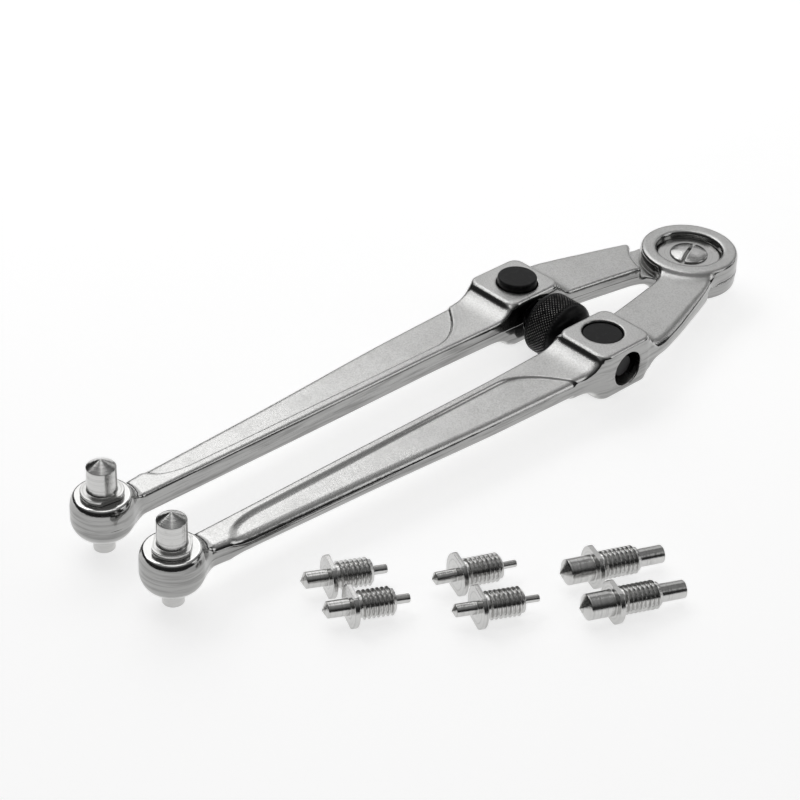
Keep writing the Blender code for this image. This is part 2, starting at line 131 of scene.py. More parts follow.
# ---- meshes ----------------------------------------------------------------------------
@dataclass
class Shape:
    """A closed surface in millimetres, with values that its material reads.

    Attributes:
        verts: points, one row each.
        faces: four point numbers a row, anticlockwise from outside.
        caps: other faces, such as the flat ends of a turned piece.
        marks: attribute name to one number a point.
    """

    verts: Array
    faces: Array
    caps: list[list[int]] = field(default_factory=list)
    marks: dict[str, Array] = field(default_factory=dict)

    def turned_over(self) -> "Shape":
        """The same piece after half a turn about the X axis."""
        return Shape(self.verts * (1.0, -1.0, -1.0), self.faces, self.caps, self.marks)

    def moved(self, matrix: Array, offset: Sequence[float]) -> "Shape":
        """The same piece after a rotation matrix and then an offset."""
        return Shape(self.verts @ np.asarray(matrix).T + offset, self.faces, self.caps,
                     self.marks)

    def build(self, name: str, body: str, slot: Slot, material: bpy.types.Material,
              *nodes: str, crease: float = 40.0) -> bpy.types.Object:
        """Make the object, dress it and hang it on the frame.

        Args:
            name: the object's name.
            body: the CAD body that it rides on.
            slot: the record's material slot; not used.
            material: its finish.
            *nodes: the CAD nodes that it replaces.
            crease: edges sharper than this many degrees stay crisp.

        Returns:
            The new object.
        """
        mesh = bpy.data.meshes.new(name)
        points = (self.verts + (0.0, 0.0, MID_Z)) * MM
        quads = self.faces.tolist() + self.caps
        mesh.from_pydata(points.tolist(), [], quads)
        for label, values in self.marks.items():
            layer = mesh.attributes.new(label, "FLOAT", "POINT")
            layer.data.foreach_set("value", np.asarray(values, np.float32))
        mesh.shade_smooth()
        mesh.set_sharp_from_angle(angle=math.radians(crease))
        mesh.materials.append(material)
        obj = bpy.data.objects.new(name, mesh)
        bpy.context.scene.collection.objects.link(obj)
        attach(obj, body)
        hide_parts(*nodes)
        LOG.info("%s: %d points, rides on %s", name, len(points), body)
        return obj


def slope_of(f: Field, p: Array, h: float) -> tuple[Array, Array]:
    """Value and slope of a field, by differences of +h and -h on each axis.

    Args:
        f: distance formula.
        p: points, one row each.
        h: half the spacing of each difference.

    Returns:
        The values, and the slopes as one row a point.
    """
    x, y, z = p.T
    g = np.column_stack([f(x + h, y, z) - f(x - h, y, z), f(x, y + h, z) - f(x, y - h, z),
                         f(x, y, z + h) - f(x, y, z - h)]) / (2.0 * h)
    return f(x, y, z), g


def surface_net(f: Field, low: Sequence[float], high: Sequence[float], step: float) -> Shape:
    """The zero surface of a distance formula, as a net of quads.

    A box is filled with grid points.  Each cell whose corners differ in sign gets one point,
    the mean of the crossings on its twelve edges, then moved onto the surface along the
    slope.  Each grid edge that crosses the surface joins the four cells round it.

    Args:
        f: distance formula, negative inside.
        low: lowest corner of the box.
        high: highest corner of the box.
        step: grid spacing.

    Returns:
        The closed surface.
    """
    axes = [np.arange(a, b + step, step) for a, b in zip(low, high)]
    grid = f(axes[0][:, None, None], axes[1][None, :, None], axes[2][None, None, :])
    grid = np.broadcast_to(grid, [len(a) for a in axes]).astype(np.float32)
    inside = grid < 0.0
    corners = np.array([(i, j, k) for i in (0, 1) for j in (0, 1) for k in (0, 1)])
    shape = np.array(grid.shape) - 1
    total = sum(inside[i:i + shape[0], j:j + shape[1], k:k + shape[2]].astype(np.int8)
                for i, j, k in corners)
    cells = np.argwhere((total > 0) & (total < 8))
    values = np.stack([grid[tuple((cells + c).T)] for c in corners], 1)
    place, count = np.zeros((len(cells), 3)), np.zeros(len(cells))
    for a in range(8):
        for b in range(a + 1, 8):
            if np.abs(corners[a] - corners[b]).sum() != 1:
                continue
            crosses = (values[:, a] < 0) != (values[:, b] < 0)
            t = values[:, a] / np.where(crosses, values[:, a] - values[:, b], 1.0)
            spot = corners[a] + t[:, None] * (corners[b] - corners[a])
            place += np.where(crosses[:, None], spot, 0.0)
            count += crosses
    verts = np.array([a[0] for a in axes]) + (cells + place / count[:, None]) * step
    centre = verts.copy()
    for _ in range(3):
        value, slope = slope_of(f, verts, 0.05 * step)
        verts = verts - 0.9 * (value / np.maximum((slope ** 2).sum(1), 0.25))[:, None] * slope
        verts = np.clip(verts, centre - 0.45 * step, centre + 0.45 * step)

    number = np.full(shape, -1, np.int64)
    number[tuple(cells.T)] = np.arange(len(cells))
    faces = []
    for axis in range(3):
        u, v = (axis + 1) % 3, (axis + 2) % 3
        first = inside.take(range(0, inside.shape[axis] - 1), axis)
        second = inside.take(range(1, inside.shape[axis]), axis)
        edges = np.argwhere(first != second)
        outward = first[tuple(edges.T)]
        ring = []
        for du, dv in ((-1, -1), (0, -1), (0, 0), (-1, 0)):
            cell = edges.copy()
            cell[:, u] += du
            cell[:, v] += dv
            ring.append(number[tuple(cell.T)])
        quad = np.stack(ring, 1)
        faces.append(np.where(outward[:, None], quad, quad[:, ::-1]))
    return Shape(verts, np.vstack(faces))


def turned(length: Array, radius: Array, hollow: bool = False,
           tweak: Optional[Callable[[Array, Array, Array], Array]] = None,
           sides: int = 128) -> Shape:
    """A turned piece about Z: a profile of (length, radius) carried round the axis.

    Args:
        length: places along the axis, in order along the profile.
        radius: radius at each place.
        hollow: the profile is a closed loop, so the piece has a bore.
        tweak: gives the radius from angle, length and plain radius grids.
        sides: points round the axis.

    Returns:
        The surface, with the mark "lathe" as the distance run along the profile.
    """
    angle = np.linspace(0.0, 2.0 * math.pi, sides, endpoint=False)
    z, r = np.asarray(length, float), np.asarray(radius, float)
    a_grid, z_grid = np.meshgrid(angle, z)
    r_grid = np.repeat(r[:, None], sides, 1)
    if tweak is not None:
        r_grid = tweak(a_grid, z_grid, r_grid)
    verts = np.stack([r_grid * np.cos(a_grid), r_grid * np.sin(a_grid), z_grid], 2)
    rows = len(z)
    i, j = np.meshgrid(np.arange(rows if hollow else rows - 1), np.arange(sides),
                       indexing="ij")
    k, n = (i + 1) % rows, (j + 1) % sides
    faces = np.stack([i * sides + j, i * sides + n, k * sides + n, k * sides + j], 2)
    run = np.concatenate([[0.0], np.cumsum(np.hypot(np.diff(z), np.diff(r)))])
    caps = [] if hollow else [list(range(sides))[::-1],
                              list(range((rows - 1) * sides, rows * sides))]
    return Shape(verts.reshape(-1, 3), faces.reshape(-1, 4), caps,
                 {"lathe": np.repeat(run, sides)})


def rounded_profile(points: Sequence[tuple[float, float, float]],
                    closed: bool = False) -> tuple[Array, Array]:
    """A profile of straight lines with its corners rounded.

    Args:
        points: (length, radius, rounding) for each corner.
        closed: the last corner joins the first.

    Returns:
        The places and radii along the profile.
    """
    pts = np.array([p[:2] for p in points], float)
    out: list[Array] = []
    count = len(pts)
    for i, (_, _, rounding) in enumerate(points):
        here = pts[i]
        if rounding <= 0.0 or (not closed and i in (0, count - 1)):
            out.append(here[None])
            continue
        before, after = pts[i - 1] - here, pts[(i + 1) % count] - here
        reach = min(rounding, 0.45 * np.hypot(*before), 0.45 * np.hypot(*after))
        a = here + before / np.hypot(*before) * reach
        b = here + after / np.hypot(*after) * reach
        t = np.linspace(0.0, 1.0, 6)[:, None]
        out.append((1 - t) ** 2 * a + 2 * t * (1 - t) * here + t ** 2 * b)
    path = np.vstack(out)
    return path[:, 0], path[:, 1]


def thread(angle: Array, length: Array, radius: Array, start: float, end: float,
           pitch: float, depth: float, hand: Hand) -> Array:
    """Cut a V thread into a plain radius.

    The groove is a triangle wave of length / pitch - angle / full turn, with flats at crest
    and root.  It fades out within half a pitch of each end.

    Args:
        angle: angle grid.
        length: length grid.
        radius: plain radius grid.
        start: where the thread starts.
        end: where it ends.
        pitch: length of one turn.
        depth: depth of the groove.
        hand: which way it climbs.

    Returns:
        The new radius grid.
    """
    phase = (length / pitch - hand.value * angle / (2.0 * math.pi)) % 1.0
    groove = np.clip((1.0 - np.abs(2.0 * phase - 1.0) - 0.14) / 0.66, 0.0, 1.0)
    fade = smooth((length - start) / (0.6 * pitch)) * smooth((end - length) / (0.4 * pitch))
    return radius - depth * groove * fade


# ---- shader expressions ----------------------------------------------------------------
Number = Union[float, "Value"]


class Value:
    """A shader socket that takes part in Python arithmetic."""

    def __init__(self, shader: "Shader", socket: bpy.types.NodeSocket) -> None:
        """Keep the socket and the shader that it belongs to."""
        self.shader, self.socket = shader, socket

    def _do(self, operation: str, first: Number, second: Number = 0.0) -> "Value":
        """Add one Math node."""
        return self.shader.node("ShaderNodeMath", {"operation": operation},
                                {0: first, 1: second})

    def __add__(self, other: Number) -> "Value":
        """Sum."""
        return self._do("ADD", self, other)

    __radd__ = __add__

    def __sub__(self, other: Number) -> "Value":
        """Difference."""
        return self._do("SUBTRACT", self, other)

    def __rsub__(self, other: Number) -> "Value":
        """Difference, the other way round."""
        return self._do("SUBTRACT", other, self)

    def __mul__(self, other: Number) -> "Value":
        """Product."""
        return self._do("MULTIPLY", self, other)

    __rmul__ = __mul__

    def __truediv__(self, other: Number) -> "Value":
        """Quotient."""
        return self._do("DIVIDE", self, other)

    def __rtruediv__(self, other: Number) -> "Value":
        """Quotient, the other way round."""
        return self._do("DIVIDE", other, self)

    def between(self, low: float, high: float) -> "Value":
        """Rises smoothly from 0 at low to 1 at high."""
        return self.shader.node("ShaderNodeMapRange", {"interpolation_type": "SMOOTHSTEP"},
                                {"Value": self, "From Min": low, "From Max": high})


class Shader:
    """One material, with its nodes made by a single method."""

    def __init__(self, name: str) -> None:
        """Start a material with an empty Principled shader.

        Args:
            name: the material's name.
        """
        self.material = bpy.data.materials.new(name)
        self.material.use_nodes = True
        self.tree = self.material.node_tree
        self.surface = self.tree.nodes["Principled BSDF"]

    def node(self, kind: str, settings: Optional[dict] = None,
             sockets: Optional[dict] = None, output: Union[int, str] = 0) -> Value:
        """Add a node.

        Args:
            kind: the node's type.
            settings: properties, set first.
            sockets: socket name or number to a value or a link.
            output: which output is returned.

        Returns:
            The output, ready for arithmetic.
        """
        new = self.tree.nodes.new(kind)
        for key, setting in (settings or {}).items():
            setattr(new, key, setting)
        for key, given in (sockets or {}).items():
            self.feed(new.inputs[key], given)
        return Value(self, new.outputs[output])

    def feed(self, socket: bpy.types.NodeSocket, given: object) -> None:
        """Link a value to a socket, or set the socket's own number.

        Args:
            socket: the input to feed.
            given: a value to link, or a plain number, vector or colour.
        """
        if isinstance(given, Value):
            self.tree.links.new(given.socket, socket)
        else:
            socket.default_value = given

    def place(self) -> Value:
        """Object coordinates, in metres."""
        return self.node("ShaderNodeTexCoord", output="Object")

    def mark(self, name: str) -> Value:
        """A number stored on the mesh."""
        return self.node("ShaderNodeAttribute", {"attribute_name": name}, output="Fac")

    def noise(self, size_mm: float, detail: float = 2.0, rough: float = 0.5,
              stretch: Sequence[float] = (1.0, 1.0, 1.0)) -> Value:
        """Noise on Object coordinates.

        Args:
            size_mm: about how wide its features are.
            detail: number of finer layers.
            rough: weight of each finer layer.
            stretch: how many times longer the features are along X, Y and Z.

        Returns:
            A number from 0 to 1.
        """
        where = self.node("ShaderNodeMapping", None,
                          {"Vector": self.place(), "Scale": [1.0 / s for s in stretch]})
        return self.node("ShaderNodeTexNoise", None,
                         {"Vector": where, "Scale": 1.0 / (size_mm * MM), "Detail": detail,
                          "Roughness": rough})

    def lathe_noise(self, size_mm: float, detail: float = 2.0) -> Value:
        """Noise that changes only along the turned profile, as a tool leaves it."""
        return self.node("ShaderNodeTexNoise", {"noise_dimensions": "1D"},
                         {"W": self.mark("lathe"), "Scale": 1.0 / size_mm,
                          "Detail": detail, "Roughness": 0.6})

    def blend(self, amount: Number, a: Sequence[float], b: Sequence[float]) -> Value:
        """A colour between a and b."""
        return self.node("ShaderNodeMix", {"data_type": "RGBA"},
                         {"Factor": amount, 6: (*a, 1.0), 7: (*b, 1.0)}, output=2)

    def finish(self, color: object, roughness: Number, metallic: Number,
               bumps: Sequence[tuple[Value, float]], **fixed: float) -> bpy.types.Material:
        """Feed the shader.

        Args:
            color: colour or link.
            roughness: number or link.
            metallic: number or link.
            bumps: (height from 0 to 1, depth in millimetres) for each relief.
            **fixed: other sockets, with underscores for spaces.

        Returns:
            The material.
        """
        self.feed(self.surface.inputs["Base Color"], color)
        self.feed(self.surface.inputs["Roughness"], roughness)
        self.feed(self.surface.inputs["Metallic"], metallic)
        normal: Optional[Value] = None
        for height, depth in bumps:
            sockets = {"Height": height, "Distance": depth * MM, "Strength": 1.0}
            if normal is not None:
                sockets["Normal"] = normal
            normal = self.node("ShaderNodeBump", None, sockets)
        if normal is not None:
            self.feed(self.surface.inputs["Normal"], normal)
        for key, number in fixed.items():
            self.surface.inputs[key.replace("_", " ")].default_value = number
        return self.material


@dataclass(frozen=True)
class SatinForging:
    """Nickel-plated forging: grained on its faces, polished on its sides and head, with painted
    shade on its walls.
    """

    tone: tuple[float, float, float] = (0.70, 0.698, 0.69)
    shade: tuple[float, float, float] = (0.52, 0.518, 0.51)
    # painted shade: the walls' colour, darker than the tops
    painted_wall_shade: tuple[float, float, float] = (0.38, 0.379, 0.374)
    # darker streaks along the walls, within the painted wall shade
    wall_streak_dark: tuple[float, float, float] = (0.17, 0.169, 0.166)
    grained: float = 0.33
    polished: float = 0.12

    def material(self) -> bpy.types.Material:
        """Blend the two finishes by the mesh's satin mark, and tops and the darker painted wall
        shade by its level.

        Returns:
            The material.
        """
        s = Shader("satin_forging_finish")
        satin = s.mark("satin")
        grain = s.noise(0.42, 3.0, 0.7)
        waves = s.noise(3.2, 2.0)
        clouds = s.noise(11.0, 3.0, 0.6)
        scuffs = s.noise(0.5, 2.0, 0.5, (9.0, 1.0, 1.0))
        streaks = s.noise(1.0, 3.0, 0.6, (16.0, 16.0, 1.0))
        height = s.node("ShaderNodeSeparateXYZ", None, {"Vector": s.place()}, output="Z")
        seam = s.node("ShaderNodeMath", {"operation": "ABSOLUTE"},
                      {0: height - MID_Z * MM}).between(0.00012, 0.0004)
        roughness = (satin * (self.grained - self.polished) + self.polished
                     + (clouds - 0.5) * 0.10 + satin * (grain - 0.5) * 0.12
                     + (scuffs.between(0.55, 0.75)) * 0.05)
        soil = clouds.between(0.45, 0.8) * 0.35 + satin * grain.between(0.35, 0.7) * 0.95
        top = s.blend(soil, self.tone, self.shade)
        # painted shade: steep faces take the darker wall colours in place of the top colour
        color = s.node("ShaderNodeMix", {"data_type": "RGBA"},
                       {"Factor": s.mark("level"), 7: top,
                        6: s.blend(streaks.between(0.4, 0.75) * 0.7, self.painted_wall_shade, self.wall_streak_dark)},
                       output=2)
        return s.finish(color, roughness, 1.0,
                        ((waves, 0.035), (satin * grain, 0.080), (scuffs, 0.004),
                         (seam, -0.05)))


@dataclass(frozen=True)
class TurnedSteel:
    """Bright steel with the fine rings that a turning tool leaves."""

    tone: tuple[float, float, float] = (0.60, 0.598, 0.59)
    shade: tuple[float, float, float] = (0.30, 0.298, 0.29)
    roughness: float = 0.17
    ring_depth: float = 0.015

    def material(self) -> bpy.types.Material:
        """Rings from the mesh's lathe mark, and a little handling wear.

        Returns:
            The material.
        """
        s = Shader("turned_steel_finish")
        fine, coarse = s.lathe_noise(0.14), s.lathe_noise(0.9)
        wear = s.noise(2.4, 3.0, 0.6)
        roughness = (fine - 0.5) * 0.10 + (wear - 0.5) * 0.10 + self.roughness
        color = s.blend(coarse.between(0.5, 0.8) * 0.4 + wear.between(0.55, 0.8) * 0.2
                        + fine.between(0.5, 0.8) * 0.3,
                        self.tone, self.shade)
        return s.finish(color, roughness, 1.0,
                        ((fine, self.ring_depth), (coarse, self.ring_depth * 1.6)))


@dataclass(frozen=True)
class BlackOxide:
    """Blackened steel, a little worn on its high edges, which are also brightened as painted
    glints.
    """

    tone: tuple[float, float, float] = (0.006, 0.006, 0.0065)
    # colour of the knurl points: worn bare steel, and painted glint
    rubbed_and_glint: tuple[float, float, float] = (0.36, 0.356, 0.35)
    roughness: float = 0.33

    def material(self) -> bpy.types.Material:
        """Dark film with mottled gloss, and rubbed crests that are worn steel and painted
        glints.

        Returns:
            The material.
        """
        s = Shader("black_oxide_finish")
        mottle, fine = s.noise(1.9, 3.0, 0.6), s.noise(0.22, 2.0)
        crest = s.mark("crest")
        # knurl points: worn bare steel, and painted glints
        worn_and_glint = crest.between(0.7, 1.0) * mottle.between(0.25, 0.6)
        color = s.blend(worn_and_glint * 0.9 + mottle.between(0.5, 0.8) * 0.05, self.tone, self.rubbed_and_glint)
        roughness = (mottle - 0.5) * 0.16 + (fine - 0.5) * 0.06 + self.roughness
        return s.finish(color, roughness, 0.25 + worn_and_glint * 0.6, ((fine, 0.006), (mottle, 0.01)),
                        Specular_IOR_Level=0.22)


@dataclass(frozen=True)
class StudioFloor:
    """Plain pale floor with a trace of unevenness."""

    tone: tuple[float, float, float] = (0.58, 0.58, 0.58)
    glow: float = 0.68

    def material(self) -> bpy.types.Material:
        """Matt white that gives off a little light of its own.

        Returns:
            The material.
        """
        s = Shader("studio_floor_finish")
        mottle = s.noise(40.0, 2.0)
        color = s.blend(mottle * 0.2, self.tone, (0.56, 0.56, 0.56))
        material = s.finish(color, 0.9, 0.0, (), Emission_Strength=self.glow)
        s.surface.inputs["Emission Color"].default_value = (1.0, 1.0, 1.0, 1.0)
        return material


# ---- the forged arm --------------------------------------------------------------------
@dataclass
class ForgedArm:
    """One forging: boss, shank, block, leg and head, about the near arm's place."""

    boss_r: float = 15.3
    boss_top: float = 5.15
    seat_r: float = 10.3
    seat_floor: float = 2.0
    lap_gap: float = 0.15
    lap_clear_r: float = 18.3
    lap_square: float = 17.0
    pivot_bore: float = 3.65
    shim_r: float = 9.5
    shim_depth: float = 0.5
    shank_half: float = 3.2
    leg_half: float = 3.45
    block_half: float = 7.5
    block_x: tuple[float, float] = (48.6, 70.2)
    block_y: tuple[float, float] = (8.6, 28.5)
    block_corner: float = 3.8
    block_round: float = 1.15
    block_fillet: float = 1.0
    boss_round: float = 1.3
    boss_fillet: float = 2.5
    head_fillet: float = 3.0
    seat_taper: float = 0.16
    ramp: float = 9.0
    back_ramp: float = 6.0
    panel_depth: float = 0.75
    head_face: float = 7.5
    head_r: float = 8.65
    head_half: float = 6.45
    bowl_half: float = 5.75
    head_bore: float = 4.05
    barrel_bore: float = 6.1
    side_bore: float = 5.4
    draft: float = 0.055
    step: float = 0.42
    inner_edge: tuple[tuple[float, float], ...] = (
        (-2.0, -6.0), (3.0, -3.0), (13.0, 0.2), (18.6, 3.7), (34.0, 6.4), (47.0, 8.4),
        (72.0, 8.7), (100.0, 9.5), (150.0, 9.7), (200.0, 10.2), (220.0, 10.2))
    outer_edge: tuple[tuple[float, float], ...] = (
        (-2.0, 9.0), (3.0, 13.3), (5.0, 14.6), (9.0, 16.8), (18.4, 20.3), (31.0, 24.8),
        (42.0, 28.0), (47.0, 28.3), (68.0, 28.0), (74.0, 26.9), (80.0, 26.4),
        (110.0, 25.2), (153.0, 22.6), (197.0, 20.3), (206.0, 18.9), (220.0, 18.6))
    rim: tuple[tuple[float, float], ...] = (
        (97.0, 12.6), (88.5, 12.9), (83.5, 20.0), (78.6, 27.2),
        (201.5, 21.0), (198.0, 15.0), (194.5, 13.5), (187.0, 13.2))

    def edge(self, points: Sequence[tuple[float, float]], x: Array) -> tuple[Array, Array]:
        """Smoothed edge line and the cosine of its slope.

        The straight lines between the points are averaged over 3 mm each way, which
        rounds their corners.

        Args:
            points: (x, y) of each corner of the line.
            x: places along the tool.

        Returns:
            The line's y, and the cosine.
        """
        table = np.array(points)
        line = sum(np.interp(x + d, *table.T) for d in (-3.0, -1.8, -0.6, 0.6, 1.8, 3.0)) / 6.0
        ahead = sum(np.interp(x + d + 0.2, *table.T)
                    for d in (-3.0, -1.8, -0.6, 0.6, 1.8, 3.0)) / 6.0
        return line, 1.0 / np.hypot(1.0, (ahead - line) / 0.2)

    def rim_line(self, x: Array) -> tuple[Array, Array]:
        """Inner rim of the sunk panel, a straight line with a cubic sweep at each end.

        Args:
            x: places along the tool.

        Returns:
            The rim's y, and the cosine of its slope.
        """
        t = np.linspace(0.0, 1.0, 30)[:, None]
        p = [np.array(v) for v in self.rim]
        curves = [(1 - t) ** 3 * a + 3 * (1 - t) ** 2 * t * b + 3 * (1 - t) * t ** 2 * c
                  + t ** 3 * d for a, b, c, d in (p[:4][::-1], p[4:][::-1])]
        line = np.vstack([[(78.3, 32.0)], curves[0], curves[1], [(202.4, 32.0)]])
        y = np.interp(x, line[:, 0], line[:, 1])
        ahead = np.interp(x + 0.3, line[:, 0], line[:, 1])
        return y, 1.0 / np.hypot(1.0, (ahead - y) / 0.3)

    def half_height(self, x: Array, y: Array, z: Array) -> Array:
        """Half thickness of shank and leg.

        A hollow climbs to the block from each side as height * (1 - t)^n, with t from 0 at
        the block to 1 where it fades out.  The panel is sunk by a smooth step across its
        rim line, with a faint raised bead along it, and fades out at the head.  On the face
        towards +Z the step widens from 0.9 to 2.1 mm along the leg.

        Args:
            x: places along the tool.
            y: places across it.
            z: heights above the mid plane.

        Returns:
            The half thickness.
        """
        back, front = self.block_x
        base = self.shank_half + (self.leg_half - self.shank_half) * smooth((x - back) / 20.0)
        ahead = np.clip(1.0 - (x - front + 0.3) / self.ramp, 0.0, 1.0)
        behind = np.clip(1.0 - (back + 0.3 - x) / self.back_ramp, 0.0, 1.0)
        rise = ((self.block_half - 1.0 - self.leg_half) * ahead ** 3.4
                * smooth((x - back) / 8.0)
                + (self.block_half - 1.6 - self.shank_half) * behind ** 2.8
                * smooth((front - x) / 8.0))
        rise = np.minimum(rise, self.block_half - 1.0 - base)
        rim_y, rim_cos = self.rim_line(x)
        across = (y - rim_y) * rim_cos
        width = 0.9 + 1.2 * smooth((x - 100.0) / 80.0) * np.where(z > 0.0, 1.0, 0.0)
        sunk = self.panel_depth * smooth(0.5 + across / width)
        bead = (0.10 * np.exp(-((across + 0.7) / 0.4) ** 2)
                * smooth((x - 80.0) / 4.0) * smooth((197.5 - x) / 3.0))
        along = smooth((x - 77.0) / 3.0) * smooth((202.6 - x) / 6.5)
        return base + rise - (sunk - bead) * along

    def bar(self, x: Array, y: Array, z: Array) -> Array:
        """Shank and leg: between the two edge lines, within the half thickness.

        Args:
            x: places along the tool.
            y: places across it.
            z: heights above the mid plane.

        Returns:
            The distance, negative inside.
        """
        (low, low_cos), (high, high_cos) = (self.edge(e, x)
                                            for e in (self.inner_edge, self.outer_edge))
        lean = self.draft * np.abs(z)
        inner, outer = (low - y) * low_cos + lean, (y - high) * high_cos + lean
        flat = np.abs(z) - self.half_height(x, y, z)
        soft = (1.9 + 1.0 * smooth((x - 8.0) / 25.0) * smooth((52.0 - x) / 6.0)
                + 0.6 * smooth((x - 110.0) / 50.0) * smooth((206.0 - x) / 14.0))
        body = meet(meet(inner, flat, 1.1), meet(outer, flat, soft), 0.05)
        ends = np.maximum(1.0 - x, x - (HEAD_X - 3.0))
        return np.maximum(body, ends)

    def head(self, x: Array, y: Array, z: Array, over: float) -> Array:
        """Barrel head, flat on top and round as a bowl beneath.

        Args:
            x: places along the tool.
            y: places across it.
            z: heights above the mid plane.
            over: 1 where the bowl faces -Z, -1 where it faces +Z.

        Returns:
            The distance, negative inside.
        """
        r, h = np.hypot(x - HEAD_X, y - HEAD_Y), z * over
        upper = self.head_r - (self.head_r - self.head_face) * np.clip(h / self.head_half,
                                                                       0, 1) ** 4.5
        lower = self.head_r * np.sqrt(np.maximum(1 - (np.clip(-h, 0, 7.2) / 7.3) ** 2.3, 0.0))
        side = (r - np.where(h > 0, upper, lower)) * np.where(h > -3.0, 1.0, 0.75)
        return meet(side, np.maximum(h - self.head_half, -h - self.bowl_half), 0.3)

    def formula(self, over: float) -> Field:
        """Distance formula of the whole forging.

        Args:
            over: 1 where the bowl of the head faces -Z, -1 where it faces +Z.

        Returns:
            The formula.
        """
        def field_of(x: Array, y: Array, z: Array) -> Array:
            """Bar, block, head and boss joined, then lap, seat and bores cut out."""
            at_pivot = np.hypot(x, y)
            solid = self.bar(x, y, z)
            block_mid = [0.5 * sum(v) for v in (self.block_x, self.block_y)]
            block_size = [0.5 * (v[1] - v[0]) for v in (self.block_x, self.block_y)]
            qx = np.abs(x - block_mid[0]) - (block_size[0] - self.block_corner)
            qy = np.abs(y - block_mid[1]) - (block_size[1] - self.block_corner)
            plan = (np.hypot(np.maximum(qx, 0), np.maximum(qy, 0))
                    + np.minimum(np.maximum(qx, qy), 0) - self.block_corner)
            block = meet(plan + 0.03 * np.abs(z), np.abs(z) - self.block_half,
                         self.block_round)
            solid = join(solid, block, self.block_fillet)
            low, low_cos = self.edge(self.inner_edge, x)
            solid = np.maximum(solid, np.where(x < 90.0, (low - 0.1 - y) * low_cos, -50.0))
            solid = np.maximum(solid, y - self.block_y[1] + 0.03)
            solid = join(solid, self.head(x, y, z, over), self.head_fillet)
            boss = meet(at_pivot - self.boss_r + 0.04 * z, z - self.boss_top,
                        self.boss_round)
            solid = join(solid, np.maximum(boss, -z), self.boss_fillet)
            square = 0.86 * x + 0.51 * y - self.lap_square
            lap = np.maximum(np.minimum(at_pivot - self.lap_clear_r, square),
                             z - self.lap_gap)
            solid = cut(solid, lap, 0.3 + 0.8 * smooth((at_pivot - 16.2) / 1.5))
            seat_r = self.seat_r - self.seat_taper * (self.boss_top - z)
            seat = np.maximum(at_pivot - seat_r, self.seat_floor - z)
            solid = cut(solid, seat, 1.0)
            solid = cut(solid, at_pivot - self.pivot_bore, 0.2)
            solid = cut(solid, np.maximum(at_pivot - self.shim_r, z - self.shim_depth), 0.1)
            solid = cut(solid, upright(x, y, BARREL_X, BARREL_Y, self.barrel_bore), 0.55)
            side = np.maximum(np.hypot(x - BARREL_X, z) - self.side_bore, 4.0 - y)
            solid = cut(solid, side, 0.35)
            return cut(solid, upright(x, y, HEAD_X, HEAD_Y, self.head_bore), 0.4)
        return field_of

    def shape(self, over: float) -> Shape:
        """Mesh of the forging.

        It is marked satin on its flat faces and not on its sides and head, and level by how
        flat it lies; the level mark sets where the material paints the walls darker, as painted
        shade.

        Args:
            over: as in formula.

        Returns:
            The marked surface.
        """
        formula = self.formula(over)
        low = (-self.boss_r - 1.3, -self.boss_r - 1.3, -self.block_half - 1.1)
        high = (HEAD_X + self.head_r + 1.3, self.block_y[1] + 1.3, self.block_half + 1.1)
        shape = surface_net(formula, low, high, self.step)
        _, slope = slope_of(formula, shape.verts, 0.3)
        level = np.abs(slope[:, 2]) / np.maximum(np.linalg.norm(slope, axis=1), 1e-6)
        from_head = np.hypot(shape.verts[:, 0] - HEAD_X, shape.verts[:, 1] - HEAD_Y)
        satin = smooth((level - 0.55) / 0.35) * smooth((from_head - 9.0) / 4.0)
        fade = 1.0 - 0.35 * smooth((shape.verts[:, 0] - 90.0) / 90.0)
        shape.marks["satin"] = satin * fade
        # level mark: where the material paints the walls darker, as painted shade
        shape.marks["level"] = smooth((level - 0.25) / 0.6)
        return shape

    def build(self, finish: bpy.types.Material) -> None:
        """Make both arms; the far one is the same forging turned over.

        Args:
            finish: their material.
        """
        self.shape(1.0).build("forged_arm_near", "near_arm", Slot.FORGING, finish, "arm_near",
                              crease=70.0)
        self.shape(-1.0).turned_over().build("forged_arm_far", "far_arm", Slot.FORGING,
                                             finish, "arm_far", crease=70.0)


